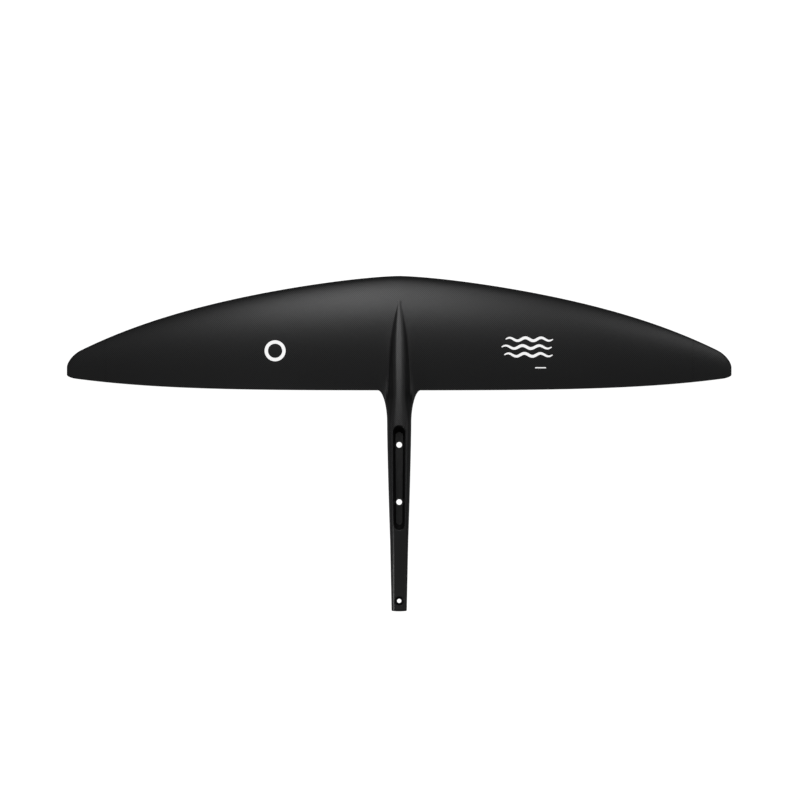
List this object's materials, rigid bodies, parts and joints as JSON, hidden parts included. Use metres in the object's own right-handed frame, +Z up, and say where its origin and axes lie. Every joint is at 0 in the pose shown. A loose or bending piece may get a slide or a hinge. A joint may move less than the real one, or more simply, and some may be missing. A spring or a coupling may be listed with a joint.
{
  "type": "hydrofoil front wing",
  "caption": "High-aspect hydrofoil wing moulded in one with a slim fuselage that has a tapered mast socket and a stabiliser seat.",
  "frame": {"origin": "on the floor of the mast socket, on the centreline, midway between the two mast screw holes", "axes": "+X to the wing's right-hand tip (span), +Y forward to the leading edge, +Z up, out of the mast socket's mouth"},
  "size_m": [0.982, 0.495, 0.0545],
  "materials": {
    "carbon_twill": "satin black carbon twill laminate under a thin matt coat",
    "carbon_moulding": "satin compression-moulded carbon",
    "unidirectional_carbon": "pultruded unidirectional carbon, fine lengthwise fibres",
    "glass_laminate": "machined glass-epoxy laminate",
    "foam_core": "closed-cell structural foam, machined",
    "stainless_steel": "turned stainless steel",
    "black_anodised": "turned aluminium, black anodised"
  },
  "bodies": {
    "root": {"upper_shell": "carbon_twill", "lower_shell": "carbon_twill", "tip_left": "carbon_twill", "tip_right": "carbon_twill", "leading_edge_strip_left": "unidirectional_carbon", "leading_edge_strip_right": "unidirectional_carbon", "trailing_edge_strip_left": "unidirectional_carbon", "trailing_edge_strip_right": "unidirectional_carbon", "nose_core_left": "foam_core", "nose_core_right": "foam_core", "main_core_left": "foam_core", "main_core_right": "foam_core", "centre_core": "foam_core", "fuselage_core": "foam_core", "spar_cap_upper": "unidirectional_carbon", "spar_cap_lower": "unidirectional_carbon", "shear_web": "glass_laminate", "mast_socket": "carbon_moulding", "mast_block": "glass_laminate", "mast_sleeve_front": "stainless_steel", "mast_sleeve_rear": "stainless_steel", "mast_cup_front": "stainless_steel", "mast_cup_rear": "stainless_steel", "tail_block": "carbon_moulding", "stabiliser_bush": "black_anodised"}
  },
  "joints": []
}
